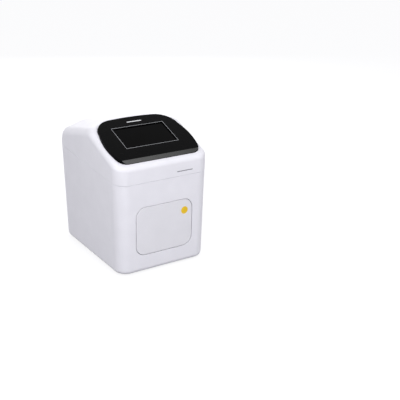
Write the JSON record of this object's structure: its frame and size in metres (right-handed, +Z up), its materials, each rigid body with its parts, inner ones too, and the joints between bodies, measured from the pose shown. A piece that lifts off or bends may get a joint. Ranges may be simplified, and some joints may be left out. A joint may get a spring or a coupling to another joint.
{
  "type": "benchtop thermal cycler",
  "caption": "Benchtop real-time thermal cycler: cream plastic body, tilted touch screen on top, powered sample drawer in front, mains inlet and fan behind.",
  "frame": {"origin": "on the bench, under the middle of the body", "axes": "+Z up, -Y is the drawer side that faces the user, +X is the user's right when facing the drawer"},
  "size_m": [0.276, 0.365, 0.3769],
  "materials": {
    "casing_plastic": "satin",
    "door_plastic": "satin",
    "zinc_steel": "satin",
    "grey_paint": "matte",
    "foot_rubber": "matte",
    "screw_steel": "satin",
    "bezel_black": "gloss",
    "display_glass": "polished",
    "lcd_black": "matte",
    "board_green": "satin",
    "board_white": "satin",
    "rail_nylon": "matte",
    "runner_steel": "satin",
    "black_aluminium": "matte",
    "ceramic_white": "matte",
    "block_aluminium": "satin",
    "surround_black": "matte",
    "belt_rubber": "matte",
    "pulley_aluminium": "satin",
    "motor_black": "satin",
    "heater_film": "satin",
    "nut_brass": "satin",
    "filter_glass": "polished",
    "fitting_black": "satin",
    "rocker_black": "gloss",
    "port_steel": "polished",
    "supply_steel": "satin"
  },
  "bodies": {
    "casing": {"lower_casing": "casing_plastic", "upper_casing": "casing_plastic", "base_plate": "zinc_steel", "rear_panel": "grey_paint", "rubber_feet": "foot_rubber", "foot_screws": "screw_steel", "rear_screws": "screw_steel", "inner_screws": "screw_steel", "display_bezel": "bezel_black", "touch_glass": "display_glass", "lcd_module": "lcd_black", "display_bracket": "zinc_steel", "display_board": "board_green", "chassis_left": "zinc_steel", "chassis_right": "zinc_steel", "chassis_rear": "zinc_steel", "chassis_deck": "zinc_steel", "guide_rails": "rail_nylon", "drive_belt": "belt_rubber", "idler_axle": "runner_steel", "drive_motor": "motor_black", "guide_posts": "runner_steel", "lid_motor": "motor_black", "optics_hood": "surround_black", "led_boards": "board_white", "optics_housing": "surround_black", "emission_filter": "filter_glass", "camera_lens": "surround_black", "camera_board": "board_green", "iec_inlet": "fitting_black", "switch_housing": "fitting_black", "fan_frame": "fitting_black", "io_board": "board_green", "usb_ports": "port_steel", "ethernet_port": "port_steel", "power_supply": "supply_steel", "main_board": "board_green", "driver_board": "board_green", "board_standoffs": "nut_brass"},
    "drawer": {"drawer_front": "door_plastic", "drawer_bracket": "zinc_steel", "drawer_tray": "zinc_steel", "drawer_runners": "runner_steel", "heat_sink": "black_aluminium", "peltier_modules": "ceramic_white", "sample_block": "block_aluminium", "block_surround": "surround_black", "block_seal": "foot_rubber", "belt_clamp": "rail_nylon"},
    "drive_pulley": {"drive_pulley": "pulley_aluminium", "motor_shaft": "runner_steel"},
    "idler_pulley": {"idler_pulley": "pulley_aluminium"},
    "lid": {"lid_plate": "block_aluminium", "lid_heater": "heater_film", "lid_carrier": "pulley_aluminium", "lid_nut": "nut_brass"},
    "lid_screw": {"lid_screw": "runner_steel"},
    "fan_rotor": {"fan_rotor": "fitting_black"},
    "power_rocker": {"power_rocker": "rocker_black"}
  },
  "joints": [
    {"name": "drawer_slide", "type": "slide", "parent": "casing", "child": "drawer", "axis": [0, -1, 0], "range_m": [0, 0.125]},
    {"name": "drive_pulley_spin", "type": "hinge", "parent": "casing", "child": "drive_pulley", "pos_m": [-0.084, 0.062, 0.113], "axis": [-1, 0, 0], "range_deg": [0, 1135]},
    {"name": "idler_pulley_spin", "type": "hinge", "parent": "casing", "child": "idler_pulley", "pos_m": [-0.084, -0.142, 0.113], "axis": [-1, 0, 0], "range_deg": [0, 1135]},
    {"name": "lid_lift", "type": "slide", "parent": "casing", "child": "lid", "axis": [0, 0, -1], "range_m": [0, 0.012]},
    {"name": "lid_screw_spin", "type": "hinge", "parent": "casing", "child": "lid_screw", "pos_m": [0, -0.04, 0.18], "axis": [0, 0, 1], "range_deg": [0, 1090]},
    {"name": "fan_spin", "type": "hinge", "parent": "casing", "child": "fan_rotor", "pos_m": [-0.038, 0.158, 0.15], "axis": [0, 1, 0], "continuous": true},
    {"name": "power_switch", "type": "hinge", "parent": "casing", "child": "power_rocker", "pos_m": [0.066, 0.169, 0.098], "axis": [1, 0, 0], "range_deg": [0, 16]}
  ],
  "couplings": [
    {"joint": "drive_pulley_spin", "follows": "drawer_slide", "rad_per_m": 157.48},
    {"joint": "idler_pulley_spin", "follows": "drawer_slide", "rad_per_m": 157.48},
    {"joint": "lid_screw_spin", "follows": "lid_lift", "rad_per_m": 1570.8}
  ]
}
